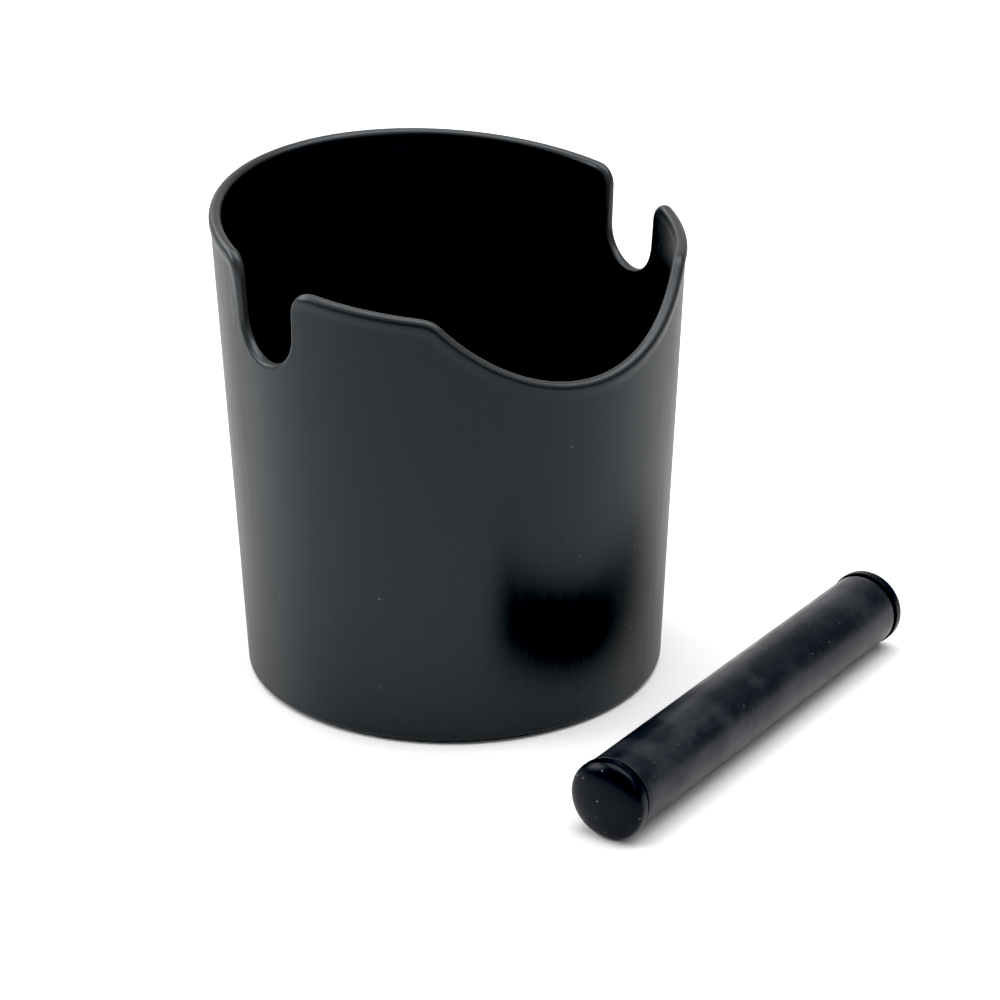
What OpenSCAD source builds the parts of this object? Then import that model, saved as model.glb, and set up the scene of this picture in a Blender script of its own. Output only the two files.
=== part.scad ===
// Espresso knock box: a moulded bin with a slanted rim, two slots that seat a
// rubber covered knock bar, and a scooped dip at the front for the portafilter.
// The bar lies on the table beside the bin.
// Frame: origin on the table at the middle of the bin, +Z up, X from slot to
// slot, the dip on the -Y side. All lengths are in millimetres.

/* [Bin] */
// Outside diameter of the wall at the middle height of the rim
top_d = 139.2; // [130:0.1:146]
// Outside diameter of the wall at the table
base_d = 127.2; // [118:0.1:130]
// Height of the rim at the middle of the bin
rim_h = 139.5; // [132:0.5:145]
// Slant of the rim, higher at the back, in degrees
rim_slant = 7.5; // [4:0.5:9]
// Thickness of the side wall
wall_t = 3.2; // [2.4:0.1:3.6]
// Thickness of the floor
floor_t = 3; // [2.5:0.5:5]
// Radius of the rounded corners in the top edge
corner_r = 6.5; // [5:0.5:7]

/* [Rim bead] */
// Height of the thickened bead along the top edge
bead_h = 3.2; // [2:0.2:4]
// How far the bead stands out from the outside of the wall
bead_out = 0.4; // [0.3:0.1:1.2]
// How far the bead stands out from the inside of the wall
bead_in = 0.2; // [0.1:0.1:1]

/* [Bar slots] */
// Width of each slot across its round bottom
slot_w = 22.6; // [22.6:0.1:25]
// Depth of the slots' round bottom below the middle of the rim
slot_depth = 27.8; // [24:0.1:32]
// Distance of the slots from the middle of the bin, towards the dip
slot_shift = 4; // [0:0.1:6]
// Draft of a slot's side nearest the dip, in degrees
slot_draft_front = 3; // [0:0.5:4]
// Draft of a slot's side nearest the back, in degrees
slot_draft_back = 1; // [0:0.5:3]

/* [Dip] */
// Radius of the dip in the front of the rim
dip_r = 54; // [48:1:58]
// Depth of the dip's lowest point below the middle of the rim
dip_depth = 29.3; // [25:0.1:34]

/* [Base pad] */
// Diameter of the non-slip pad under the bin
pad_d = 112; // [100:1:114]
// Thickness of the pad
pad_t = 2.6; // [2:0.1:3]
// How far the pad stands below the bin's lower edge
pad_proud = 0.6; // [0.4:0.1:1]

/* [Knock bar] */
// Diameter of the rubber sleeve
sleeve_d = 22.5; // [21.5:0.1:22.5]
// Length of the rubber sleeve
sleeve_len = 142.4; // [141:0.1:146]
// Outside diameter of the steel tube inside the sleeve
core_d = 14; // [12:0.5:16]
// Bore of the steel tube
core_bore = 11; // [9:0.5:11]
// Diameter of the end caps
cap_d = 23.3; // [23.3:0.1:24]
// Length of an end cap's rim
cap_len = 5; // [4:0.5:8]
// Rise of an end cap's domed face
cap_dome = 1.1; // [0.5:0.1:2]
// Width of the groove between the sleeve and a cap
groove_w = 1; // [0.6:0.1:2]

/* [Bar on the table] */
// Bar centre, to the right of the bin's middle
bar_x = 33.8; // [20:0.1:50]
// Bar centre, in front of the bin's middle
bar_front = 97; // [95:0.1:120]
// Turn of the bar away from the line of the slots, in degrees
bar_turn = 18.2; // [0:0.1:25]

/* [Hidden] */
$fn = 128;

plastic = [0.10, 0.105, 0.115];
pad_rubber = [0.05, 0.05, 0.052];
sleeve_rubber = [0.07, 0.072, 0.08];
steel = [0.62, 0.63, 0.65];

// bin
base_r = base_d / 2;
top_r = top_d / 2;
taper = atan((top_r - base_r) / rim_h);
bin_bottom = pad_proud;
recess_top = pad_t;
floor_top = recess_top + floor_t;
floor_round = 7;
foot_round = 1.6;
// how far the uncut wall reaches above the highest point of the rim
spare = 4;
blank_top = rim_h + (top_r + bead_out) * tan(rim_slant) + spare;
// how far the cutting blocks reach past the bin
over = 20;
// a straight edge runs this far into the arc that it meets, so that the two cross cleanly
bite = 0.005;

// pad
pad_gap = 0.15;
pad_groove_w = 1.6;
pad_groove_depth = 0.8;
pad_groove_pitch = 9;
pad_grooves = 4;
pad_edge = 0.4;

// knock bar
spigot_len = 14;
spigot_gap = 0.05;
collar_inset = 1.4;
cap_round = 2;
sleeve_round = 0.4;
sleeve_gap = 0.05;

// radius of the wall's outside at height z
function wall_r(z) = base_r + z * tan(taper);

// radius of the wall's inside at height z
function inner_r(z) = wall_r(z) - wall_t / cos(taper);

// The outlines that cut the top edge have their zero height at the middle of the rim.

// height of the rim's slanted plane at depth y, lowered by an inset o
function rim_z(y, o) = y * tan(rim_slant) - o / cos(rim_slant);

// centre of a slot's round bottom
slot_centre = [-slot_shift, slot_w / 2 - slot_depth];

// where a slot's side meets the round bottom, s = 1 at the back and -1 at the front
function slot_foot(s, draft, r) = slot_centre + (r - bite) * [s * cos(draft), -sin(draft)];

// where a slot's side crosses the rim
function slot_corner(s, draft, r, o) =
    let (foot = slot_foot(s, draft, r),
         rise = (rim_z(foot.x, o) - foot.y) / (cos(draft) - s * sin(draft) * tan(rim_slant)))
    foot + rise * [s * sin(draft), cos(draft)];

// a round corner of radius r between the rim and a slot's side:
// its end on the rim, its centre and its end on the side
function slot_round(s, draft, corner, r) =
    let (along_rim = s * [cos(rim_slant), sin(rim_slant)],
         down_side = [-s * sin(draft), -cos(draft)],
         half = acos(along_rim * down_side) / 2,
         middle = (along_rim + down_side) / norm(along_rim + down_side),
         centre = corner + r / sin(half) * middle,
         reach = r / tan(half),
         on_rim = corner + reach * along_rim,
         on_side = corner + reach * down_side)
    [on_rim + bite / r * (centre - on_rim), centre, on_side + bite / r * (centre - on_side)];

// outline, in Y and Z, of what is cut away above the rim and in the slots;
// the whole outline is moved into the material by the inset o
module side_outline(o) {
    r = slot_w / 2 + o;
    back_foot = slot_foot(1, slot_draft_back, r);
    front_foot = slot_foot(-1, slot_draft_front, r);
    back = slot_round(1, slot_draft_back, slot_corner(1, slot_draft_back, r, o), corner_r - o);
    front = slot_round(-1, slot_draft_front, slot_corner(-1, slot_draft_front, r, o), corner_r - o);
    far = top_r + over;
    difference() {
        polygon([
            [-far, rim_z(-far, o)],
            front[0],
            front[1],
            front[2],
            front_foot,
            front_foot - [0, 2 * r],
            back_foot - [0, 2 * r],
            back_foot,
            back[2],
            back[1],
            back[0],
            [far, rim_z(far, o)],
            [far, over],
            [-far, over]
        ]);
        translate(back[1]) circle(corner_r - o);
        translate(front[1]) circle(corner_r - o);
        difference() {
            polygon([
                front_foot - [r, 3 * r],
                back_foot + [r, -3 * r],
                back_foot + [r, 0],
                front_foot - [r, 0]
            ]);
            translate(slot_centre) circle(r);
        }
    }
}

// everything above the level where the round corners end, in Y and Z
module above_corners() {
    far = top_r + 2 * over;
    drop = corner_r / cos(rim_slant);
    polygon([
        [-far, rim_z(-far, 0) - drop],
        [far, rim_z(far, 0) - drop],
        [far, 2 * over],
        [-far, 2 * over]
    ]);
}

// place of the dip's round corner: the dip's arc crosses the slanted rim at x = cross_x, found in two
// steps from a first guess at how far in front of the middle that is
dip_z = dip_r - dip_depth;
dip_wall_r = inner_r(rim_h);
first_guess = 0.75 * dip_wall_r;
cross_guess = sqrt(dip_r * dip_r - pow(dip_z - rim_z(-first_guess, 0), 2));
cross_depth = -sqrt(pow(dip_wall_r, 2) - pow(cross_guess, 2));
cross_x = sqrt(dip_r * dip_r - pow(dip_z - rim_z(cross_depth, 0), 2));
cross_rise = tan(rim_slant) * cross_x / -cross_depth;
cross_angle = atan(cross_rise);

// centre of the corner's arc: corner_r below the rim's line and corner_r outside the dip's arc
corner_drop = rim_z(cross_depth, 0) - corner_r / cos(cross_angle) - cross_x * cross_rise - dip_z;
corner_a = 1 + cross_rise * cross_rise;
corner_b = corner_drop * cross_rise;
corner_c = corner_drop * corner_drop - pow(dip_r + corner_r - bite, 2);
corner_x = (sqrt(corner_b * corner_b - corner_a * corner_c) - corner_b) / corner_a;
corner_centre = [corner_x, dip_z + corner_drop + corner_x * cross_rise];

// outline, in X and Z, of the dip, moved into the material by the inset o
module dip_outline(o) {
    r = corner_r - o;
    on_rim = corner_centre + (r - bite) * [-sin(cross_angle), cos(cross_angle)];
    on_dip = corner_centre + r * ([0, dip_z] - corner_centre) / norm([0, dip_z] - corner_centre);
    low = dip_z - dip_r - over;
    block = dip_r + over;
    difference() {
        polygon([
            [-on_rim.x, over],
            [-on_rim.x, on_rim.y],
            [-corner_centre.x, corner_centre.y],
            [-corner_centre.x, low],
            [corner_centre.x, low],
            corner_centre,
            on_rim,
            [on_rim.x, over]
        ]);
        for (s = [-1, 1])
            translate([s * corner_centre.x, corner_centre.y]) circle(r);
        difference() {
            translate([-block, on_dip.y - 2 * block]) square(2 * block);
            translate([0, dip_z]) circle(dip_r + o);
        }
    }
}

// a Y and Z outline as a block right across the bin
module across() {
    far = top_r + over;
    translate([-far, 0, rim_h]) rotate([90, 0, 90]) linear_extrude(2 * far) children();
}

// an X and Z outline as a block through the front wall only
module through_front() {
    far = top_r + over;
    translate([0, -top_r / 2, rim_h]) rotate([90, 0, 0]) linear_extrude(far) children();
}

// half section of the bin's outside, with a rounded foot
module outside_section() {
    centre = [wall_r(bin_bottom + foot_round) - foot_round / cos(taper), bin_bottom + foot_round];
    polygon([
        [0, bin_bottom],
        [centre.x, bin_bottom],
        centre,
        centre + foot_round * [cos(taper), -sin(taper)],
        [wall_r(blank_top), blank_top],
        [0, blank_top]
    ]);
    translate(centre) circle(foot_round);
}

// half section of the bin's hollow, rounded where the floor meets the wall
module hollow_section() {
    centre = [inner_r(floor_top + floor_round) - floor_round / cos(taper), floor_top + floor_round];
    polygon([
        [0, floor_top],
        [centre.x, floor_top],
        centre,
        centre + floor_round * [cos(taper), -sin(taper)],
        [inner_r(blank_top + over), blank_top + over],
        [0, blank_top + over]
    ]);
    translate(centre) circle(floor_round);
}

// the bin before its top edge is cut
module blank() {
    rotate_extrude() difference() {
        outside_section();
        hollow_section();
        square([pad_d / 2 + pad_gap, recess_top]);
    }
}

// thicker band of wall that the bead is cut from
module bead_band() {
    low = rim_h - dip_depth - 2 * bead_h;
    rotate_extrude() polygon([
        [inner_r(low) - bead_in, low],
        [wall_r(low) + bead_out, low],
        [wall_r(blank_top) + bead_out, blank_top],
        [inner_r(blank_top) - bead_in, blank_top]
    ]);
}

// one moulding: tapered wall, floor, bead, slots, dip and the recess for the pad
module bin() {
    color(plastic) difference() {
        union() {
            blank();
            intersection() {
                bead_band();
                union() {
                    across() intersection() {
                        side_outline(bead_h);
                        above_corners();
                    }
                    through_front() dip_outline(bead_h);
                }
            }
        }
        across() side_outline(0);
        through_front() dip_outline(0);
    }
}

// rubber disc in the recess under the floor, with ring grooves in its underside
module base_pad() {
    color(pad_rubber) rotate_extrude() difference() {
        polygon([
            [0, 0],
            [pad_d / 2 - pad_edge, 0],
            [pad_d / 2, pad_edge],
            [pad_d / 2, pad_t],
            [0, pad_t]
        ]);
        for (i = [0 : pad_grooves - 1])
            translate([pad_d / 2 - pad_groove_pitch * (i + 1), -pad_groove_depth])
                square([pad_groove_w, 2 * pad_groove_depth]);
    }
}

// puts a piece that is built along +Z from the bar's middle in its place on the table
module in_bar() {
    translate([bar_x, -bar_front, cap_d / 2])
        rotate([0, 0, bar_turn])
            rotate([0, 90, 0])
                children();
}

// steel tube that carries the knocks
module bar_core() {
    color(steel) in_bar() difference() {
        cylinder(h = sleeve_len, d = core_d, center = true);
        cylinder(h = sleeve_len + over, d = core_bore, center = true);
    }
}

// rubber sleeve with rounded ends, over the whole tube
module bar_sleeve() {
    bore_r = core_d / 2 + sleeve_gap;
    outer_r = sleeve_d / 2;
    color(sleeve_rubber) in_bar() rotate_extrude() {
        translate([bore_r, -sleeve_len / 2])
            square([outer_r - sleeve_round - bore_r, sleeve_len]);
        translate([bore_r, sleeve_round - sleeve_len / 2])
            square([outer_r - bore_r, sleeve_len - 2 * sleeve_round]);
        for (s = [-1, 1])
            translate([outer_r - sleeve_round, s * (sleeve_len / 2 - sleeve_round)])
                circle(sleeve_round);
    }
}

// domed cap: a spigot in the tube, a collar that leaves the groove, and the rim
module end_cap() {
    rim_r = cap_d / 2;
    face_r = rim_r - cap_round;
    rim_end = groove_w + cap_len;
    dome_r = (face_r * face_r + cap_dome * cap_dome) / (2 * cap_dome);
    color(plastic) rotate_extrude() {
        translate([0, -spigot_len]) square([core_bore / 2 - spigot_gap, spigot_len + groove_w]);
        square([sleeve_d / 2 - collar_inset, rim_end - cap_round]);
        translate([0, groove_w]) square([rim_r, cap_len - cap_round]);
        translate([0, groove_w]) square([face_r, cap_len]);
        translate([face_r, rim_end - cap_round]) circle(cap_round);
        intersection() {
            translate([0, rim_end + cap_dome - dome_r]) circle(dome_r);
            translate([0, rim_end - cap_round]) square([face_r, cap_round + cap_dome]);
        }
    }
}

// cap on the end that points away from the bin's right slot
module end_cap_left() {
    in_bar() mirror([0, 0, 1]) translate([0, 0, sleeve_len / 2]) end_cap();
}

// cap on the other end
module end_cap_right() {
    in_bar() translate([0, 0, sleeve_len / 2]) end_cap();
}

bin();
base_pad();
bar_core();
bar_sleeve();
end_cap_left();
end_cap_right();
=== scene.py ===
"""Looks of the espresso knock box: a moulded bin with a beaded rim, and its knock bar.

Lengths are written in millimetres and turned into metres when a mesh is made. The frame
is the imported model's: origin under the middle of the bin, +Z up, X from slot to slot, dip
on the -Y side. Materials, lights and the camera are in metres.
"""

import math

import bpy
import numpy as np
from mathutils import Matrix, Vector


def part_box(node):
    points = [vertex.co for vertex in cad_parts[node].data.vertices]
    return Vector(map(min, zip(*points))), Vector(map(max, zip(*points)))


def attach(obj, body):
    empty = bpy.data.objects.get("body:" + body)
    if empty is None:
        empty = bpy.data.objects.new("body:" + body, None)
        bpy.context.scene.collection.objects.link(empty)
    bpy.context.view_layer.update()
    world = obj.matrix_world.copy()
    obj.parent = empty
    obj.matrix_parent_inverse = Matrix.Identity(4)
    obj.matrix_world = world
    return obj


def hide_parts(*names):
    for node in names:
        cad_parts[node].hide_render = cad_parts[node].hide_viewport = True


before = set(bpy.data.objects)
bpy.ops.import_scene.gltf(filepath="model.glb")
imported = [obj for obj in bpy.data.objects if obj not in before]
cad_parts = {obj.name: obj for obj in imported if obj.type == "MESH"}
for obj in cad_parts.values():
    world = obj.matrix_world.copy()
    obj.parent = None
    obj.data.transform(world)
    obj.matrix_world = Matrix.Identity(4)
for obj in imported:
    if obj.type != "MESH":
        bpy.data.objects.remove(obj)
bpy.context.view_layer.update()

MM = 0.001
FULL_TURN = 2 * math.pi

# ---------------------------------------------------------------- sizes of the bin, in mm

BASE_R = 63.6                 # outside of the wall's cone at the table
TOP_R = 69.6                  # and at the height of the rim's middle
WALL = 3.2                    # thickness of the wall
RIM_HEIGHT = 139.5            # rim at the middle of the bin
RIM_SLANT = math.radians(7.5)
TAPER = math.atan((TOP_R - BASE_R) / RIM_HEIGHT)
CORNER_R = 6.5                # rounded corners in the top edge
SLOT_R = 11.3
SLOT_DEPTH = 27.8             # lowest point of a slot, under RIM_HEIGHT
SLOT_SHIFT = 4.0              # how far the slots stand in front of the bin's middle
DRAFT_FRONT = math.radians(3)     # lean of a slot's front side
DRAFT_BACK = math.radians(1)      # and of its back side
DIP_R = 54.0
DIP_DEPTH = 29.3              # lowest point of the dip, under RIM_HEIGHT

BOTTOM = 0.6                  # the bin's lower edge, above the pad's underside
FOOT_ROUND = 1.6
FOOT_FLAT = 2.5               # width of the flat ring that the bin would stand on
FLOOR_TOP = 5.6
FLOOR_ROUND = 7.0
RECESS_R = 56.15
RECESS_TOP = 2.6
RECESS_SOFT = 0.25            # rounding of the recess's corners
ROUND_MIDDLE = 0.3            # a corner's middle point in from both faces, in radii

# rim bead, measured from the wall's faces and down from the edge
BEAD_OUT = 0.4
BEAD_IN = 0.2
BEAD_CREST = (BEAD_OUT - BEAD_IN) / 2
BEAD_FLAT = 0.1               # half the width of the flat on its crest
BEAD_TOP = 2.1                # height of its rounded top
BEAD_UNDER = 2.9              # height of the hollow curve back to the wall
EDGE_OUT = 1.5                # radius of the plain edge in the slots, outside
EDGE_IN = 1.0                 # and inside
BAND = 6.2                    # height of the strip that follows the edge

# how the edge changes in the slots: depths under the rim's plane where it starts and ends
FADE_BACK = (1.0, 16.0)       # the bead fades out on a slot's back side
FADE_FRONT = (0.4, 5.0)       # and on its front side
FADE_SQUARE = (0.5, 8.0)      # the edge turns from square to the wall to straight along X
SLOT_ZONE_X = 4 * SLOT_R      # the edge is in a slot beyond this X
SLOT_ZONE_Y = SLOT_R + 2 * CORNER_R       # and this near to the slot's middle
BEAD_BLUR = 1.5               # smoothing of the bead along the edge, in points
SQUARE_BLUR = 2               # and of its turn to X
LEVEL_BLUR = 26               # smoothing of the level rings' angles, in points

# painted highlight on the edge's crest: shares of the rounded top where it starts and is
# full
PAINTED_HIGHLIGHT = "painted_highlight"                 # name of the point attribute
PAINTED_HIGHLIGHT_SPAN = (0.15, 0.5)

# points along the edge's outline, before it is divided evenly
BOWL_POINTS = 80
CORNER_POINTS = 24
SLOT_POINTS = 30
FRONT_POINTS = 40
BACK_POINTS = 90

# mesh of the bin
STEP = 0.9                    # distance between columns along the edge
STRIP_FOOT = (0, 0.5, 0.9)    # the strip's first rows, above its foot
UNDER_ROWS = 9                # rows in the curve under the bead
TOP_ROWS = 13                 # rows on each half of the rounded top
BELT = 96.0                   # height of the first level ring, under slots and dip
BELT_ROWS = 14
WALL_ROWS = 14
FOOT_ROWS = 8
FLOOR_ROWS = 12
CORNER_START = -8             # first ring round the foot and floor corner, in degrees
RECESS_RINGS = (RECESS_R - 3, 36, 16, 4)
FLOOR_EDGE = 2                # first ring on the floor, in from the rounded corner
FLOOR_RINGS = (44, 30, 16, 4)


# ---------------------------------------------------------------- small tools

def outer_r(z):
    return BASE_R + z * math.tan(TAPER)


def inner_r(z):
    return outer_r(z) - WALL / math.cos(TAPER)


def middle_r(z):
    return (outer_r(z) + inner_r(z)) / 2


def unit(v):
    v = np.asarray(v, float)
    return v / np.linalg.norm(v)


def ease(t):
    """0 to 1 with level ends."""
    return t * t * (3 - 2 * t)


def smoothstep(x, low, high):
    return ease(np.clip((x - low) / (high - low), 0, 1))


def smooth_ring(values, sigma):
    """Gaussian blur of values that repeat round a ring; sigma is in samples."""
    waves = np.fft.rfftfreq(len(values))
    kept = np.exp(-2 * (math.pi * sigma * waves) ** 2)
    return np.fft.irfft(np.fft.rfft(values) * kept, len(values))


def arc(centre, radius, start, end, count):
    """Points on a circle from direction start to direction end, the short way."""
    a = math.atan2(start[1], start[0])
    b = math.atan2(end[1], end[0])
    turn = (b - a + math.pi) % FULL_TURN - math.pi
    angles = a + np.linspace(0, turn, count)
    return np.stack([centre[0] + radius * np.cos(angles),
                     centre[1] + radius * np.sin(angles)], 1)


def corner(point, along_a, along_b, radius, count):
    """A round corner at point, between two edges that leave along along_a and along_b."""
    a, b = unit(along_a), unit(along_b)
    half = math.acos(np.clip(a @ b, -1, 1)) / 2
    centre = np.asarray(point) + unit(a + b) * radius / math.sin(half)
    reach = radius / math.tan(half)
    start, end = point + a * reach, point + b * reach
    return arc(centre, radius, start - centre, end - centre, count)


def quarter(centre_x, centre_r, radius, start, end, count):
    """Points of a round edge in a profile, from angle start to angle end, in degrees."""
    return [(centre_x + radius * math.cos(a), centre_r + radius * math.sin(a))
            for a in np.radians(np.linspace(start, end, count))]


# ---------------------------------------------------------------- the edge's course

def slot_outline():
    """One slot from the rim's front part to its back part, as (y, z) points.

    z is from RIM_HEIGHT.
    """
    centre = np.array([-SLOT_SHIFT, SLOT_R - SLOT_DEPTH])
    rim = np.array([math.cos(RIM_SLANT), math.sin(RIM_SLANT)])
    slope = math.tan(RIM_SLANT)
    sides = []
    for s, draft in ((-1, DRAFT_FRONT), (1, DRAFT_BACK)):
        up = np.array([s * math.sin(draft), math.cos(draft)])
        foot = centre + SLOT_R * np.array([s * math.cos(draft), -math.sin(draft)])
        rise = (foot[0] * slope - foot[1]) / (up[1] - up[0] * slope)
        top = foot + rise * up
        sides.append((foot, corner(top, s * rim, -up, CORNER_R, CORNER_POINTS)))
    (front_foot, front), (back_foot, back) = sides
    down = (0, -1)
    bottom = [arc(centre, SLOT_R, front_foot - centre, down, SLOT_POINTS),
              arc(centre, SLOT_R, down, back_foot - centre, SLOT_POINTS)[1:]]
    return np.concatenate([front, *bottom, back[::-1]])


def on_side(yz, side):
    """(y, z) points on the middle of the wall, at X > 0 for side 1, X < 0 for -1."""
    y = yz[:, 0]
    z = yz[:, 1] + RIM_HEIGHT
    x = side * np.sqrt(middle_r(z) ** 2 - y ** 2)
    return np.stack([x, y, z], 1)


def rim_at(angle):
    """Where the slanted rim crosses the middle of the wall at these angles from +X."""
    slope = math.tan(RIM_SLANT) * np.sin(angle)
    grow = math.tan(TAPER)
    z = (RIM_HEIGHT + slope * middle_r(0)) / (1 - slope * grow)
    return np.stack([middle_r(z) * np.cos(angle), middle_r(z) * np.sin(angle), z], 1)


def dip_half():
    """Half of the dip, from its lowest point to the rim at X > 0.

    The points are in 3-D, on the middle of the wall.
    """
    dip_z = DIP_R - DIP_DEPTH

    def rim_z(x):
        return -math.sqrt(middle_r(RIM_HEIGHT) ** 2 - x * x) * math.tan(RIM_SLANT)

    # where the dip's circle crosses the rim: from a rough guess, closer with each round
    x = DIP_R * 0.85
    for _ in range(30):
        x = math.sqrt(DIP_R ** 2 - (dip_z - rim_z(x)) ** 2)
    nudge = 0.01
    slope = (rim_z(x + nudge) - rim_z(x - nudge)) / (2 * nudge)
    rim_dir = unit((1, slope))
    rim_normal = np.array([rim_dir[1], -rim_dir[0]])
    # the corner's centre is CORNER_R under the rim's line and outside the dip's circle
    start = np.array([x, rim_z(x)]) + CORNER_R * rim_normal
    offset = start - (0, dip_z)
    b = offset @ rim_dir
    c = offset @ offset - (DIP_R + CORNER_R) ** 2
    centre = start + (-b + math.sqrt(b * b - c)) * rim_dir
    towards_dip = unit(np.array([0, dip_z]) - centre)
    bowl = arc((0, dip_z), DIP_R, (0, -1), -towards_dip, BOWL_POINTS)
    bend = arc(centre, CORNER_R, towards_dip, -rim_normal, CORNER_POINTS)[1:]
    xz = np.concatenate([bowl, bend])
    z = xz[:, 1] + RIM_HEIGHT
    return np.stack([xz[:, 0], -np.sqrt(middle_r(z) ** 2 - xz[:, 0] ** 2), z], 1)


def edge_course():
    """The bin's whole top edge, on the middle of the wall.

    It runs anticlockwise from the dip's lowest point; its second half mirrors the first.
    """
    dip = dip_half()
    slot = on_side(slot_outline(), 1)
    dip_end = math.atan2(dip[-1, 1], dip[-1, 0])
    slot_start = math.atan2(slot[0, 1], slot[0, 0])
    slot_end = math.atan2(slot[-1, 1], slot[-1, 0])
    front = rim_at(np.linspace(dip_end, slot_start, FRONT_POINTS))[1:-1]
    back = rim_at(np.linspace(slot_end, math.pi / 2, BACK_POINTS))[1:]
    half = np.concatenate([dip, front, slot, back])
    other = half[-2:0:-1] * (-1, 1, 1)
    return np.concatenate([half, other])


def resample(points, step):
    """A closed line's points moved to equal distances, starting at its first point."""
    closed = np.concatenate([points, points[:1]])
    pieces = np.linalg.norm(np.diff(closed, axis=0), axis=1)
    length = np.concatenate([[0], np.cumsum(pieces)])
    count = 2 * round(length[-1] / step / 2)
    at = np.linspace(0, length[-1], count, endpoint=False)
    return np.stack([np.interp(at, length, closed[:, k]) for k in range(3)], 1)


# ---------------------------------------------------------------- the bin's surface

def ring(radius, angle, z):
    return np.stack([radius * np.cos(angle), radius * np.sin(angle),
                     np.broadcast_to(z, angle.shape)], 1)


def wall_normal(angle):
    """The wall's outward normal at these angles from +X."""
    return np.stack([np.cos(angle) * math.cos(TAPER), np.sin(angle) * math.cos(TAPER),
                     np.full(len(angle), -math.sin(TAPER))], 1)


def edge_section(bead):
    """Cross-section of the edge, from the wall's outside over the top to its inside.

    Each row is (distance out from the wall's middle, depth under the edge) for each value
    of bead, which is 1 on the beaded rim and 0 on a slot's plain edge. The second result
    is how much painted highlight each row gets, from 0 on the wall to 1 over the top.
    """
    bead = np.asarray(bead, float)[:, None]
    one = np.ones_like(bead)

    def side(bulge, plain_r, crest):
        """One side, from the foot of the strip up to the middle of the top."""
        reach = WALL / 2 + bulge * bead
        width = plain_r * (1 - bead) + (reach - crest - BEAD_FLAT) * bead
        height = plain_r * (1 - bead) + BEAD_TOP * bead
        out = [WALL / 2 * one for _ in STRIP_FOOT]
        depth = [(BAND - rise) * one for rise in STRIP_FOOT]
        for t in np.linspace(0, 1, UNDER_ROWS):
            out.append(WALL / 2 + (reach - WALL / 2) * ease(t))
            depth.append(height + BEAD_UNDER * (1 - t))
        painted_highlight = [0] * len(out)
        for t in np.linspace(0, 1, TOP_ROWS + 1)[1:]:
            out.append(reach - width * (1 - math.cos(t * math.pi / 2)))
            depth.append(height * (1 - math.sin(t * math.pi / 2)))
            painted_highlight.append(float(smoothstep(t, *PAINTED_HIGHLIGHT_SPAN)))
        return out, depth, painted_highlight

    outside, outside_depth, outside_highlight = side(BEAD_OUT, EDGE_OUT, BEAD_CREST)
    inside, inside_depth, inside_highlight = side(BEAD_IN, EDGE_IN, -BEAD_CREST)
    out = np.concatenate(outside + [-v for v in inside[::-1]], 1)
    depth = np.concatenate(outside_depth + inside_depth[::-1], 1)
    return np.stack([out, depth], 2), outside_highlight + inside_highlight[::-1]


def slot_blends(edge):
    """For each point of the edge, how beaded it is and how far it is cut along X."""
    plane = RIM_HEIGHT + edge[:, 1] * math.tan(RIM_SLANT)
    below = plane - edge[:, 2]
    in_slot = ((np.abs(edge[:, 0]) > SLOT_ZONE_X)
               & (np.abs(edge[:, 1] + SLOT_SHIFT) < SLOT_ZONE_Y))
    behind = edge[:, 1] > -SLOT_SHIFT
    fade = np.where(behind, smoothstep(below, *FADE_BACK),
                    smoothstep(below, *FADE_FRONT))
    bead = smooth_ring(1 - np.where(in_slot, fade, 0), BEAD_BLUR)
    along_x = np.where(in_slot, smoothstep(below, *FADE_SQUARE), 0)
    return bead, smooth_ring(along_x, SQUARE_BLUR)


def edge_strip(edge, angle):
    """The rings that follow the edge, outside to inside, and how much painted highlight
    each one gets.
    """
    count = len(edge)
    tangent = np.roll(edge, -1, 0) - np.roll(edge, 1, 0)
    tangent /= np.linalg.norm(tangent, axis=1)[:, None]
    down = np.cross(tangent, wall_normal(angle))
    down /= np.linalg.norm(down, axis=1)[:, None]
    side = np.sign(edge[:, 0])
    square = np.stack([side, np.zeros(count), np.zeros(count)], 1)
    bead, along_x = slot_blends(edge)

    section, painted_highlight = edge_section(bead)
    strip = []
    for k in range(section.shape[1]):
        out, depth = section[:, k, 0], section[:, k, 1]
        point = edge + down * depth[:, None]
        at = np.arctan2(point[:, 1], point[:, 0])
        point = ring(middle_r(point[:, 2]), at, point[:, 2])
        facing = wall_normal(at)
        # along X, but as far out as the wall's own normal would reach
        lean = np.maximum(np.abs((square * facing).sum(1)), 0.5)
        straight = square / lean[:, None]
        way = facing * (1 - along_x)[:, None] + straight * along_x[:, None]
        strip.append(point + way * out[:, None])
    return strip, painted_highlight


def rows_to_belt(start, wall_r, level, first):
    """Rings from the strip's ring start, itself left out, down to the level one at BELT.

    level holds the level ring's angles, and first is the angle where the edge starts.
    """
    at = np.unwrap(np.arctan2(start[:, 1], start[:, 0]))
    at += FULL_TURN * round((first - at[0]) / FULL_TURN)
    rows = []
    for t in np.linspace(0, 1, BELT_ROWS + 1)[1:]:
        z = start[:, 2] * (1 - t) + BELT * t
        mix = ease(t)
        rows.append(ring(wall_r(z), at * (1 - mix) + level * mix, z))
    return rows


def rows_to_face(wall_r, face_z, radius, level, count):
    """Level rings from BELT down the wall and round a corner onto a face at face_z.

    The second result is the radius where the corner ends.
    """
    rows = [ring(wall_r(z), level, z)
            for z in np.linspace(BELT, face_z + radius, WALL_ROWS + 1)[1:]]
    centre = wall_r(face_z + radius) - radius / math.cos(TAPER)
    for a in np.radians(np.linspace(CORNER_START, -90, count)):
        rows.append(ring(centre + radius * math.cos(a), level,
                         face_z + radius * (1 + math.sin(a))))
    return rows, centre


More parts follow.
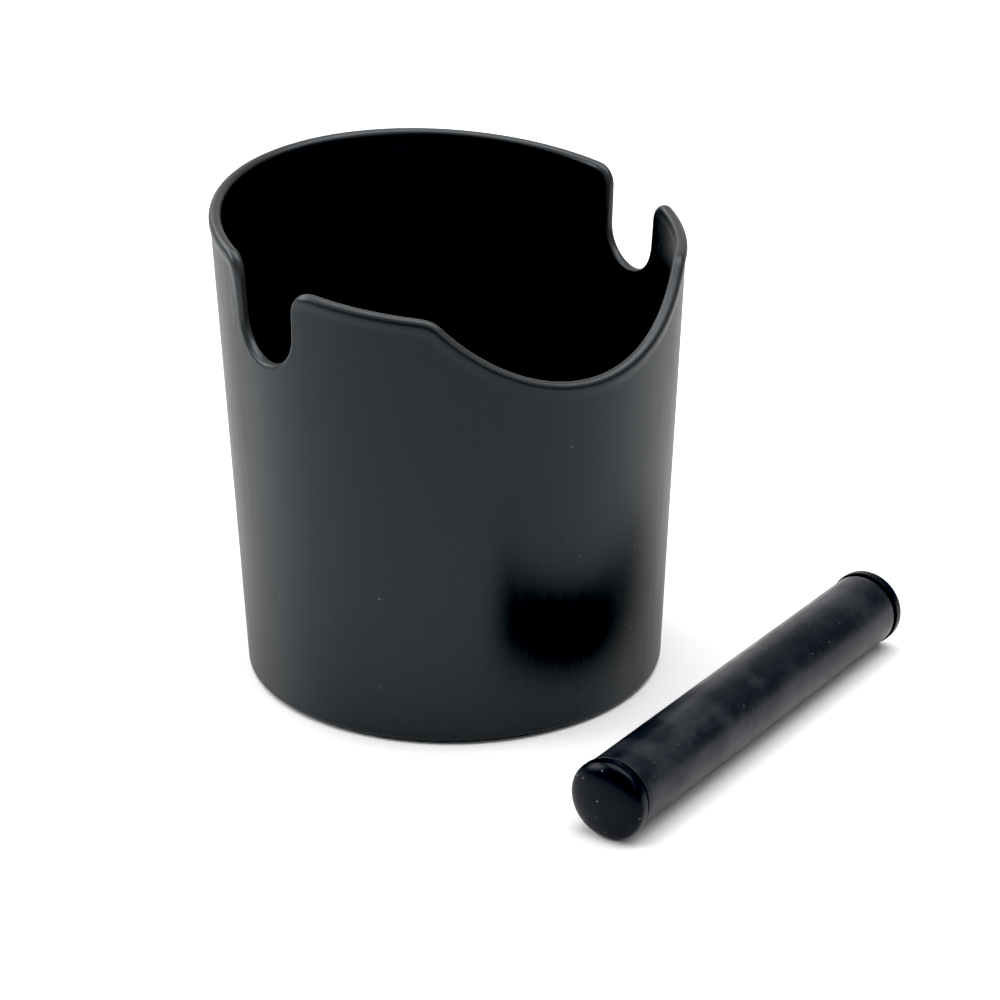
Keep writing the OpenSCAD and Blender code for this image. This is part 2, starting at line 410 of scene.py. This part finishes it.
def recess_profile():
    """The bin's underside as (radius, height), from its foot into the pad's recess."""
    soft = RECESS_SOFT
    middle = ROUND_MIDDLE * soft
    points = [(RECESS_R + FOOT_FLAT, BOTTOM), (RECESS_R + soft, BOTTOM),
              (RECESS_R + middle, BOTTOM + middle), (RECESS_R, BOTTOM + soft),
              (RECESS_R, RECESS_TOP - soft), (RECESS_R - middle, RECESS_TOP - middle),
              (RECESS_R - soft, RECESS_TOP)]
    return points + [(r, RECESS_TOP) for r in RECESS_RINGS]


def bin_rows():
    """The bin's surface as rings, and how much painted highlight each of their points gets,
    from 0 to 1.

    The rings run from the middle of the recess up the outside, over the edge, down the
    inside and to the middle of the floor.
    """
    edge = resample(edge_course(), STEP)
    angle = np.unwrap(np.arctan2(edge[:, 1], edge[:, 0]))
    count = len(edge)
    strip, painted_highlight = edge_strip(edge, angle)

    # angles of the level rings, a smoothed copy of the edge's own angles
    even = np.linspace(0, FULL_TURN, count, endpoint=False) + angle[0]
    level = even + smooth_ring(angle - even, LEVEL_BLUR)

    outside = rows_to_belt(strip[0], outer_r, level, angle[0])
    foot, _ = rows_to_face(outer_r, BOTTOM, FOOT_ROUND, level, FOOT_ROWS)
    outside += foot
    outside += [ring(r, level, z) for r, z in recess_profile()]

    inside = rows_to_belt(strip[-1], inner_r, level, angle[0])
    corner_rows, corner_end = rows_to_face(inner_r, FLOOR_TOP, FLOOR_ROUND, level,
                                           FLOOR_ROWS)
    inside += corner_rows
    inside += [ring(r, level, FLOOR_TOP) for r in (corner_end - FLOOR_EDGE, *FLOOR_RINGS)]

    painted_highlight = [0] * len(outside) + painted_highlight + [0] * len(inside)
    return outside[::-1] + strip + inside, np.repeat(painted_highlight, count)


# ---------------------------------------------------------------- meshes

def ring_faces(rows, count, wrap=False):
    """Faces between each ring of count points and the next; wrap joins last to first."""
    here = np.arange(count)
    after = (here + 1) % count
    faces = []
    for k in range(rows if wrap else rows - 1):
        a, b = k * count, (k + 1) % rows * count
        faces += np.stack([a + here, a + after, b + after, b + here], 1).tolist()
    return faces


def new_piece(name, points, faces):
    """A smooth-shaded piece from points in mm."""
    mesh = bpy.data.meshes.new(name)
    mesh.from_pydata((points * MM).tolist(), [], faces)
    mesh.validate()
    mesh.shade_smooth()
    piece = bpy.data.objects.new(name, mesh)
    bpy.context.scene.collection.objects.link(piece)
    return piece


def closed_mesh(name, rows, low_pole, high_pole):
    """A closed piece through rings of points, with a pole at each end."""
    count = len(rows[0])
    points = np.concatenate([*rows, [low_pole], [high_pole]])
    faces = ring_faces(len(rows), count)
    low, high = len(points) - 2, len(points) - 1
    last = (len(rows) - 1) * count
    pairs = [(i, (i + 1) % count) for i in range(count)]
    faces += [[low, j, i] for i, j in pairs]
    faces += [[high, last + i, last + j] for i, j in pairs]
    return new_piece(name, points, faces)


def turned_rows(profile, place, segments):
    """A ring round +X for each (x, radius) of profile, moved by place."""
    angles = np.linspace(0, FULL_TURN, segments, endpoint=False)
    return [place(np.stack([np.full(segments, x), r * np.cos(angles),
                            r * np.sin(angles)], 1))
            for x, r in profile]


def revolve(name, profile, place, segments):
    """A closed piece turned round its own +X axis.

    profile is (x, radius) points, the first and the last of them on the axis. place takes
    the piece's own millimetres to the frame's.
    """
    rows = turned_rows(profile[1:-1], place, segments)
    poles = place(np.array([[profile[0][0], 0, 0], [profile[-1][0], 0, 0]], float))
    return closed_mesh(name, rows, poles[0], poles[1])


def revolve_ring(name, profile, place, segments):
    """A ring-shaped piece turned round +X; profile is a closed outline off the axis."""
    rows = turned_rows(profile, place, segments)
    faces = ring_faces(len(rows), segments, wrap=True)
    return new_piece(name, np.concatenate(rows), faces)


# ---------------------------------------------------------------- the knock bar, in mm

SLEEVE_R = 11.25
SLEEVE_LENGTH = 142.4
SLEEVE_ROUND = 0.45
SLEEVE_END = 3                # the barrel's first row, in from the sleeve's end
SLEEVE_ROWS = 72
BORE_R = 7.05
BORE_BEVEL = 0.2
CAP_R = 11.65
CAP_LENGTH = 5.0
CAP_LIP = 0.3                 # rounding of the cap's edge at the groove
CAP_SHOULDER = 3.0            # the side starts to bend in this far before the face
CAP_SQUARE = 2.2              # how full the bend is: 2 is an ellipse, more is squarer
CAP_DOME = 1.1
CAP_FACE_POINTS = 44          # from the shoulder to the middle of the face
GROOVE = 1.0
COLLAR_R = SLEEVE_R - 1.4
COLLAR_BEVEL = (0.05, 0.2)    # along the bar, and in
SPIGOT_R = 5.45
SPIGOT_LENGTH = 14.0
SPIGOT_BEVEL = 0.5
BAR_SEGMENTS = 160
BAR_TURN = math.radians(18.2)     # on the table, from +X

core_low, core_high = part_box("bar_core")
bar_middle = (core_low + core_high) / 2 / MM


def in_bar(points):
    """From the bar's own frame, X along the bar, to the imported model's frame."""
    c, s = math.cos(BAR_TURN), math.sin(BAR_TURN)
    x, y, z = points[:, 0], points[:, 1], points[:, 2]
    return np.stack([bar_middle.x + c * x - s * y, bar_middle.y + s * x + c * y,
                     bar_middle.z + z], 1)


def at_end(way):
    """Puts a cap at one end of the bar: way is -1 for the left end, 1 for the right."""
    def place(points):
        x = way * (SLEEVE_LENGTH / 2 + points[:, 0])
        return in_bar(np.stack([x, way * points[:, 1], points[:, 2]], 1))
    return place


def sleeve_profile():
    """The sleeve's outline, outside first and then back through its bore."""
    half = SLEEVE_LENGTH / 2
    r = SLEEVE_ROUND
    barrel = np.linspace(-half + SLEEVE_END, half - SLEEVE_END, SLEEVE_ROWS)
    outside = quarter(-half + r, SLEEVE_R - r, r, 180, 90, 8)
    outside += [(x, SLEEVE_R) for x in barrel]
    outside += quarter(half - r, SLEEVE_R - r, r, 90, 0, 8)
    inside = [(half, BORE_R + BORE_BEVEL), (half - BORE_BEVEL, BORE_R),
              (-half + BORE_BEVEL, BORE_R), (-half, BORE_R + BORE_BEVEL)]
    return outside + inside


def cap_profile():
    """One cap along +X, from its spigot in the tube to its domed face.

    x is from the sleeve's end. The bend onto the face is a quarter of a superellipse.
    """
    shoulder = GROOVE + CAP_LENGTH - CAP_SHOULDER
    along, in_ = COLLAR_BEVEL
    points = [(-SPIGOT_LENGTH, 0), (-SPIGOT_LENGTH, SPIGOT_R - SPIGOT_BEVEL),
              (-SPIGOT_LENGTH + SPIGOT_BEVEL, SPIGOT_R), (0, SPIGOT_R),
              (0, COLLAR_R - in_), (along, COLLAR_R), (GROOVE, COLLAR_R),
              (GROOVE, CAP_R - CAP_LIP)]
    points += quarter(GROOVE + CAP_LIP, CAP_R - CAP_LIP, CAP_LIP, 160, 90, 4)
    points += [(x, CAP_R) for x in np.linspace(GROOVE + 1, shoulder, 3)]
    power = 2 / CAP_SQUARE
    for a in np.radians(np.linspace(90, 0, CAP_FACE_POINTS)[1:-1]):
        points.append((shoulder + (CAP_SHOULDER + CAP_DOME) * math.cos(a) ** power,
                       CAP_R * math.sin(a) ** power))
    return points + [(GROOVE + CAP_LENGTH + CAP_DOME, 0)]


# ---------------------------------------------------------------- the pad, in mm

PAD_R = 56.0
PAD_THICK = 2.6
PAD_SOFT = 0.4                # rounding of its rim
PAD_BEVEL = 0.1               # middle point of the rim's upper rounding
PAD_TOP_RING = 30
PAD_GROOVES = (4, 3, 2, 1)    # the ring grooves under it, counted in from its rim
PAD_GROOVE_PITCH = 9          # between them
PAD_GROOVE_DEPTH = 0.8
PAD_GROOVE_WIDTH = 1.6
PAD_GROOVE_BEVEL = 0.15
PAD_SEGMENTS = 180


def pad_profile():
    """The pad along its axis, from the middle of its underside to that of its top."""
    bevel = PAD_GROOVE_BEVEL
    points = [(0, 0)]
    for i in PAD_GROOVES:
        near = PAD_R - PAD_GROOVE_PITCH * i
        far = near + PAD_GROOVE_WIDTH
        points += [(0, near - bevel), (bevel, near), (PAD_GROOVE_DEPTH, near),
                   (PAD_GROOVE_DEPTH, far), (bevel, far), (0, far + bevel)]
    points += quarter(PAD_SOFT, PAD_R - PAD_SOFT, PAD_SOFT, 180, 90, 6)
    return points + [(PAD_THICK - PAD_SOFT, PAD_R),
                     (PAD_THICK - PAD_BEVEL, PAD_R - PAD_BEVEL),
                     (PAD_THICK, PAD_R - PAD_SOFT), (PAD_THICK, PAD_TOP_RING),
                     (PAD_THICK, 0)]


def upright(points):
    """Turns a piece that was made round +X so that its axis is +Z."""
    return np.stack([-points[:, 2], points[:, 1], points[:, 0]], 1)


# ---------------------------------------------------------------- materials

NOISE_MIDDLE = (0.3, 0.7)     # the part of its range that a noise mostly fills
IOR = 1.5                     # of the plastics and the sleeve


class Look:
    """A node material on a Principled shader, and short ways to add nodes to it."""

    def __init__(self, name):
        self.material = bpy.data.materials.new(name)
        self.material.use_nodes = True
        tree = self.material.node_tree
        self.nodes = tree.nodes
        self.links = tree.links
        self.shader = tree.nodes["Principled BSDF"]

    def feed(self, socket, value):
        """Links a node's output to a socket, or gives it a number or an RGB colour."""
        if isinstance(value, bpy.types.NodeSocket):
            self.links.new(value, socket)
        elif socket.type == "RGBA":
            socket.default_value = (*value, 1)
        else:
            socket.default_value = value

    def add(self, kind, inputs):
        """A new node, its inputs fed by name."""
        node = self.nodes.new(kind)
        for name, value in inputs.items():
            self.feed(node.inputs[name], value)
        return node

    def shade(self, inputs):
        """Feeds the shader's own inputs by name, and gives the finished material."""
        for name, value in inputs.items():
            self.feed(self.shader.inputs[name], value)
        return self.material

    def coordinates(self, stretch=(1, 1, 1), turn=0):
        """The piece's own coordinates, stretched along each axis and turned about Z."""
        source = self.nodes.new("ShaderNodeTexCoord")
        mapping = self.add("ShaderNodeMapping", {
            "Vector": source.outputs["Object"], "Rotation": (0, 0, turn),
            "Scale": stretch})
        return mapping.outputs["Vector"]

    def noise(self, coordinates, scale, detail, rough=0.5):
        return self.add("ShaderNodeTexNoise", {
            "Vector": coordinates, "Scale": scale, "Detail": detail,
            "Roughness": rough}).outputs["Fac"]

    def ranged(self, value, source, target):
        """value taken from the range source to the range target, held at its ends."""
        ramp = self.add("ShaderNodeMapRange", {
            "Value": value, "From Min": source[0], "From Max": source[1],
            "To Min": target[0], "To Max": target[1]})
        ramp.clamp = True
        return ramp.outputs["Result"]

    def maths(self, operation, a, b):
        node = self.nodes.new("ShaderNodeMath")
        node.operation = operation
        self.feed(node.inputs[0], a)
        self.feed(node.inputs[1], b)
        return node.outputs[0]

    def mixed(self, factor, a, b):
        """Colour a where factor is 0 and colour b where it is 1."""
        node = self.nodes.new("ShaderNodeMix")
        node.data_type = "RGBA"
        self.feed(node.inputs["Factor"], factor)
        self.feed(node.inputs["A"], a)
        self.feed(node.inputs["B"], b)
        return node.outputs["Result"]

    def bumped(self, height, distance, strength, base=None):
        inputs = {"Height": height, "Distance": distance, "Strength": strength}
        if base is not None:
            inputs["Normal"] = base
        return self.add("ShaderNodeBump", inputs).outputs["Normal"]

    def specks(self, coordinates, scale, size, share):
        """1 in small round specks of dust and 0 elsewhere.

        share is how many of the pattern's cells hold one.
        """
        cells = self.add("ShaderNodeTexVoronoi", {"Vector": coordinates, "Scale": scale})
        split = self.add("ShaderNodeSeparateColor", {"Color": cells.outputs["Color"]})
        small = self.ranged(cells.outputs["Distance"], (size * 0.5, size), (1, 0))
        chosen = self.maths("LESS_THAN", split.outputs["Red"], share)
        return self.maths("MULTIPLY", small, chosen)

    def edge_on(self, source, target):
        """Layer Weight's Facing, 0 where the surface faces the eye, as a range."""
        weight = self.add("ShaderNodeLayerWeight", {"Blend": 0.5})
        return self.ranged(weight.outputs["Facing"], source, target)


def bin_plastic():
    """Satin moulded black: fine grain, faint upright flow lines, a little dust, and a
    painted highlight along the rim's crest.
    """
    look = Look("bin_plastic")
    plain = look.coordinates()
    clouds = look.noise(plain, scale=22, detail=3)
    streaks = look.noise(look.coordinates(stretch=(1, 1, 0.03)), scale=420, detail=2)
    grain = look.noise(plain, scale=2600, detail=2)
    dust = look.specks(plain, scale=260, size=0.10, share=0.06)
    crest_highlight = look.add("ShaderNodeAttribute", {})
    crest_highlight.attribute_name = PAINTED_HIGHLIGHT

    tone = look.ranged(clouds, NOISE_MIDDLE, (0, 1))
    colour = look.mixed(tone, (0.0016, 0.0023, 0.0031), (0.0028, 0.0036, 0.0046))
    # painted highlight: a lighter base colour on the rounded top of the rim's edge, where
    # it faces up
    colour = look.mixed(crest_highlight.outputs["Fac"], colour, (0.026, 0.026, 0.026))
    colour = look.mixed(dust, colour, (0.09, 0.09, 0.09))

    # the satin grain scatters more where it is seen edge on, and high up on the bin
    height = look.add("ShaderNodeSeparateXYZ", {"Vector": plain}).outputs["Z"]
    scatter = look.maths("MAXIMUM", look.edge_on((0.30, 0.65), (0, 0.16)),
                         look.ranged(height, (0.065, 0.100), (0, 0.05)))
    rough = look.maths("ADD", look.ranged(clouds, NOISE_MIDDLE, (0.25, 0.30)),
                       look.ranged(streaks, (0.35, 0.65), (-0.01, 0.02)))
    rough = look.maths("ADD", rough, scatter)

    normal = look.bumped(grain, distance=0.00004, strength=0.25)
    normal = look.bumped(streaks, distance=0.00003, strength=0.06, base=normal)
    return look.shade({
        "Base Color": colour, "Roughness": rough, "Normal": normal, "IOR": IOR,
        "Specular IOR Level": 0.33, "Specular Tint": (0.86, 0.98, 1.06)})


def sleeve_rubber():
    """Matte black rubber with a cloudy bloom and dust, glossier where seen edge on."""
    look = Look("sleeve_rubber")
    plain = look.coordinates()
    clouds = look.noise(plain, scale=60, detail=5, rough=0.6)
    smudges = look.noise(plain, scale=160, detail=3)
    grain = look.noise(plain, scale=3200, detail=2)
    dust = look.specks(plain, scale=340, size=0.11, share=0.30)

    bloom = look.ranged(clouds, (0.44, 0.60), (0, 1))
    colour = look.mixed(bloom, (0.0070, 0.0086, 0.0120), (0.0215, 0.0240, 0.0290))
    colour = look.mixed(dust, colour, (0.09, 0.09, 0.10))
    rough = look.maths("SUBTRACT", look.ranged(smudges, NOISE_MIDDLE, (0.33, 0.43)),
                       look.edge_on((0.25, 0.55), (0, 0.06)))

    normal = look.bumped(grain, distance=0.00005, strength=0.3)
    normal = look.bumped(smudges, distance=0.0001, strength=0.12, base=normal)
    return look.shade({
        "Base Color": colour, "Roughness": rough, "Normal": normal, "IOR": IOR,
        "Specular IOR Level": 0.18, "Specular Tint": (0.92, 0.98, 1.06)})


def cap_plastic():
    """Satin black plastic with fine scuffs and specks."""
    look = Look("cap_plastic")
    plain = look.coordinates()
    clouds = look.noise(plain, scale=70, detail=4, rough=0.55)
    grain = look.noise(plain, scale=3000, detail=2)
    dust = look.specks(plain, scale=460, size=0.15, share=0.22)

    bloom = look.ranged(clouds, (0.35, 0.7), (0, 1))
    colour = look.mixed(bloom, (0.0010, 0.0024, 0.0052), (0.0026, 0.0046, 0.0084))
    colour = look.mixed(dust, colour, (0.16, 0.16, 0.17))
    return look.shade({
        "Base Color": colour,
        "Roughness": look.ranged(clouds, NOISE_MIDDLE, (0.24, 0.33)),
        "Normal": look.bumped(grain, distance=0.00004, strength=0.25), "IOR": IOR,
        "Specular IOR Level": 0.13})


def pad_rubber():
    """Soft matte rubber of the pad under the bin."""
    look = Look("pad_rubber")
    plain = look.coordinates()
    clouds = look.noise(plain, scale=60, detail=4)
    grain = look.noise(plain, scale=1800, detail=3)
    tone = look.ranged(clouds, NOISE_MIDDLE, (0, 1))
    return look.shade({
        "Base Color": look.mixed(tone, (0.012, 0.012, 0.013), (0.022, 0.022, 0.023)),
        "Roughness": look.ranged(clouds, NOISE_MIDDLE, (0.6, 0.75)),
        "Normal": look.bumped(grain, distance=0.0001, strength=0.4)})


def core_steel():
    """Drawn steel tube with fine lines, roughly along its length."""
    look = Look("core_steel")
    along = look.coordinates(stretch=(0.05, 1, 1), turn=-BAR_TURN)
    lines = look.noise(along, scale=1400, detail=3)
    return look.shade({
        "Base Color": look.mixed(lines, (0.50, 0.51, 0.53), (0.68, 0.69, 0.71)),
        "Metallic": 1.0,
        "Roughness": look.ranged(lines, NOISE_MIDDLE, (0.28, 0.42)),
        "Normal": look.bumped(lines, distance=0.00005, strength=0.3)})


# ---------------------------------------------------------------- pieces

def dress(piece, material, body, node):
    piece.data.materials.append(material)
    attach(piece, body)
    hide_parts(node)
    return piece


def build_pieces():
    rows, painted_highlight = bin_rows()
    bin_piece = closed_mesh("bin_shell", rows, (0, 0, RECESS_TOP), (0, 0, FLOOR_TOP))
    # point attribute that carries the painted highlight on the rim's crest
    crest_highlight = bin_piece.data.attributes.new(PAINTED_HIGHLIGHT, "FLOAT", "POINT")
    poles = [0, 0]
    crest_highlight.data.foreach_set("value", np.concatenate([painted_highlight, poles]).astype(np.float32))
    dress(bin_piece, bin_plastic(), "bin", "bin")

    pad = revolve("non_slip_pad", pad_profile(), upright, PAD_SEGMENTS)
    dress(pad, pad_rubber(), "bin", "base_pad")

    sleeve = revolve_ring("rubber_sleeve", sleeve_profile(), in_bar, BAR_SEGMENTS)
    dress(sleeve, sleeve_rubber(), "knock_bar", "bar_sleeve")

    cap_material = cap_plastic()
    for name, node, way in (("cap_left", "end_cap_left", -1),
                            ("cap_right", "end_cap_right", 1)):
        cap = revolve(name, cap_profile(), at_end(way), BAR_SEGMENTS)
        dress(cap, cap_material, "knock_bar", node)

    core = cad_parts["bar_core"]
    core.data.materials.clear()
    core.data.materials.append(core_steel())


# ---------------------------------------------------------------- stage, light and camera

FLOOR_HALF = 6.0
FLOOR_DROP = 0.0001           # under the pad, so that the two never share a plane
WORLD_STRENGTH = 0.22
BLACK = 0.0120                # light under this level shows as black
VIEW_TURN = math.radians(36.22)   # where the camera stands, round from -Y towards -X
CAMERA_BACK = 0.84894         # from the bin's middle, and up from the table
CAMERA_UP = 0.4162
CAMERA_TURN = 0.01680         # radians to the right of the bin's middle
CAMERA_PITCH = 0.40713        # down
CAMERA_ROLL = -0.00622
SENSOR = 36
FOCAL = 3.0418                # focal length, in sensor widths
CLIP = (0.05, 20)

LIGHT_AIM = (0, 0, 0.05)
# name, place as the camera sees it (right, away, up), size and watts
LIGHTS = (
    ("top", (0, 0.1, 1.5), (1.4, 1.4), 25.5),
    ("left", (-1.6, 0, 1.0), (1.0, 1.0), 20.5),
    ("right_high", (1.2, 0.1, 1.8), (1.0, 1.0), 15.5),
    ("back_left", (-1.3, 1.1, 1.3), (1.2, 1.0), 15.5),
    ("back_low", (0, 2.2, 0.7), (2.6, 1.0), 8.3),
    ("front_right", (1.3, -1.1, 1.3), (1.2, 1.0), 5),
)


def seen(right, away, up):
    """A place as the camera sees it: to its right, away from it and up.

    It is measured from the bin's middle.
    """
    c, s = math.cos(VIEW_TURN), math.sin(VIEW_TURN)
    return Vector((c * right + s * away, -s * right + c * away, up))


def build_camera():
    data = bpy.data.cameras.new("camera")
    data.sensor_width = SENSOR
    data.lens = SENSOR * FOCAL
    data.clip_start, data.clip_end = CLIP
    camera = bpy.data.objects.new("camera", data)
    camera.location = seen(0, -CAMERA_BACK, CAMERA_UP)
    turn, pitch, roll = CAMERA_TURN, CAMERA_PITCH, CAMERA_ROLL
    ahead = seen(math.sin(turn) * math.cos(pitch), math.cos(turn) * math.cos(pitch),
                 -math.sin(pitch))
    right = seen(math.cos(turn), -math.sin(turn), 0)
    above = right.cross(ahead)
    right, above = (right * math.cos(roll) + above * math.sin(roll),
                    above * math.cos(roll) - right * math.sin(roll))
    axes = Matrix((right, above, -ahead)).transposed()
    camera.rotation_mode = "QUATERNION"
    camera.rotation_quaternion = axes.to_quaternion()
    bpy.context.scene.collection.objects.link(camera)
    bpy.context.scene.camera = camera


def build_floor():
    size = FLOOR_HALF
    mesh = bpy.data.meshes.new("studio_floor")
    mesh.from_pydata([(-size, -size, 0), (size, -size, 0), (size, size, 0),
                      (-size, size, 0)], [], [(0, 1, 2, 3)])
    floor = bpy.data.objects.new("studio_floor", mesh)
    floor.location.z = -FLOOR_DROP
    bpy.context.scene.collection.objects.link(floor)
    mesh.materials.append(Look("floor_white").shade({
        "Base Color": (0.92, 0.92, 0.92), "Roughness": 0.9, "Specular IOR Level": 0.1}))


def softbox(name, place, size, watts):
    light = bpy.data.lights.new(name, "AREA")
    light.shape = "RECTANGLE"
    light.size, light.size_y = size
    light.energy = watts
    lamp = bpy.data.objects.new(name, light)
    lamp.location = place
    lamp.rotation_mode = "QUATERNION"
    aim = Vector(LIGHT_AIM) - Vector(place)
    lamp.rotation_quaternion = aim.to_track_quat("-Z", "Y")
    bpy.context.scene.collection.objects.link(lamp)


def build_light():
    world = bpy.data.worlds.new("studio")
    world.use_nodes = True
    background = world.node_tree.nodes["Background"]
    background.inputs["Color"].default_value = (1, 1, 1, 1)
    background.inputs["Strength"].default_value = WORLD_STRENGTH
    bpy.context.scene.world = world
    for name, place, size, watts in LIGHTS:
        softbox(name, seen(*place), size, watts)


def set_view():
    """Plain colours, with everything under BLACK shown as black."""
    view = bpy.context.scene.view_settings
    view.view_transform = "Standard"
    view.use_curve_mapping = True
    view.curve_mapping.black_level = (BLACK, BLACK, BLACK)
    view.curve_mapping.update()


build_camera()
build_floor()
build_light()
build_pieces()
set_view()
